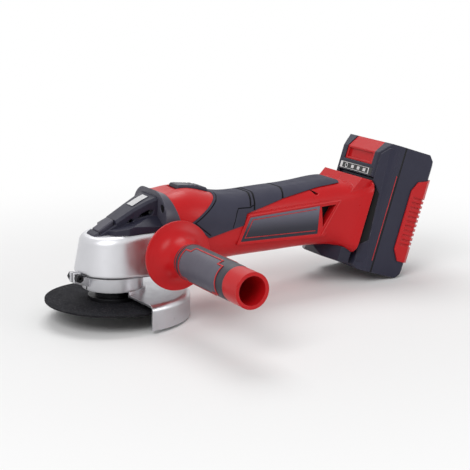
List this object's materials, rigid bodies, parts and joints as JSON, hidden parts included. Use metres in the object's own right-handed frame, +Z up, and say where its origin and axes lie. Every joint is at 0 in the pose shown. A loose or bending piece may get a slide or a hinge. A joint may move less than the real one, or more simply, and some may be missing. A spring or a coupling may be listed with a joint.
{
  "type": "cordless angle grinder",
  "caption": "Cordless angle grinder with bevel gear head, thin cutting disc, turning guard, side handle, slide switch and slide-on battery pack.",
  "frame": {"origin": "on the spindle axis at the spindle's free lower end", "axes": "+Z up the spindle axis, +X back to the battery, -Y towards the side handle"},
  "size_m": [0.3653, 0.2377, 0.1342],
  "materials": {
    "red_plastic": "satin moulded",
    "dark_plastic": "matt moulded",
    "pack_plastic": "fine grained",
    "soft_rubber": "matt soft",
    "cast_metal": "blasted",
    "bright_steel": "satin",
    "dark_steel": "blackened",
    "abrasive": "rough speckled",
    "copper": "drawn",
    "brass": "satin",
    "ferrite": "matt",
    "lamination": "stacked sheet",
    "carbon": "matt",
    "board_green": "satin",
    "gauge_face": "gloss",
    "pale_plastic": "satin",
    "cell_wrap": "shrink film"
  },
  "bodies": {
    "housing": {"gear_housing": "cast_metal", "head_cover": "dark_plastic", "front_collar": "dark_plastic", "bearing_flange": "cast_metal", "flange_screws": "dark_steel", "head_screws": "dark_steel", "spindle_bearing_outer": "bright_steel", "spindle_bearing_balls": "bright_steel", "spindle_top_bush": "brass", "left_housing_shell": "red_plastic", "right_housing_shell": "red_plastic", "grip_pad": "soft_rubber", "foot_cap": "dark_plastic", "side_plate": "dark_plastic", "housing_screws": "dark_steel", "switch_block": "dark_plastic", "control_board": "board_green", "battery_terminal_block": "brass", "motor_can": "bright_steel", "motor_magnets": "ferrite", "motor_end_bell": "dark_plastic", "brush_holders": "brass", "carbon_brushes": "carbon", "brush_springs": "bright_steel", "fan_baffle": "dark_plastic", "motor_bearing_outers": "bright_steel", "lock_spring": "bright_steel", "handle_body": "red_plastic", "handle_sleeve": "soft_rubber", "handle_stud": "bright_steel"},
    "spindle": {"spindle": "bright_steel", "spindle_bearing_inner": "bright_steel", "crown_gear": "dark_steel", "inner_flange": "dark_steel", "cutting_disc": "abrasive", "clamp_nut": "dark_steel"},
    "rotor": {"armature_shaft": "bright_steel", "armature_core": "lamination", "armature_windings": "copper", "commutator": "copper", "fan": "dark_plastic", "pinion": "dark_steel", "motor_bearing_inners": "bright_steel"},
    "lock_button": {"lock_button": "dark_plastic", "lock_pin": "bright_steel"},
    "switch": {"switch_slider": "dark_plastic", "switch_link": "dark_plastic"},
    "guard": {"guard_shroud": "bright_steel", "guard_band": "bright_steel", "guard_clamp_screw": "dark_steel", "guard_clamp_nut": "dark_steel"},
    "battery": {"battery_rail_case": "pack_plastic", "battery_base_case": "pack_plastic", "battery_bumpers": "red_plastic", "battery_cells": "cell_wrap", "battery_contacts": "brass", "latch_spring": "bright_steel", "gauge_window": "gauge_face"},
    "battery_latch": {"release_button": "red_plastic"},
    "gauge_button": {"gauge_button": "pale_plastic"}
  },
  "joints": [
    {"name": "spindle_spin", "type": "hinge", "parent": "housing", "child": "spindle", "pos_m": [0, 0, 0], "axis": [0, 0, 1], "continuous": true},
    {"name": "rotor_spin", "type": "hinge", "parent": "housing", "child": "rotor", "pos_m": [0, 0, 0.066], "axis": [1, 0, 0], "continuous": true},
    {"name": "guard_turn", "type": "hinge", "parent": "housing", "child": "guard", "pos_m": [0, 0, 0], "axis": [0, 0, 1], "range_deg": [-75, 75]},
    {"name": "lock_press", "type": "slide", "parent": "housing", "child": "lock_button", "axis": [0, 0, -1], "range_m": [0, 0.003], "stiffness_N_per_m": 900, "deforming": ["lock_spring"]},
    {"name": "switch_slide", "type": "slide", "parent": "housing", "child": "switch", "axis": [-0.9885, 0, 0.1513], "range_m": [0, 0.007]},
    {"name": "battery_slide", "type": "slide", "parent": "housing", "child": "battery", "axis": [0.2924, 0, 0.9563], "range_m": [0, 0.09]},
    {"name": "release_press", "type": "slide", "parent": "battery", "child": "battery_latch", "axis": [0.9563, 0, -0.2924], "range_m": [0, 0.004], "stiffness_N_per_m": 900, "deforming": ["latch_spring"]},
    {"name": "gauge_press", "type": "slide", "parent": "battery", "child": "gauge_button", "axis": [0.9563, 0, -0.2924], "range_m": [0, 0.0008], "stiffness_N_per_m": 1200}
  ],
  "couplings": [
    {"joint": "rotor_spin", "follows": "spindle_spin", "ratio": 3.4545}
  ]
}
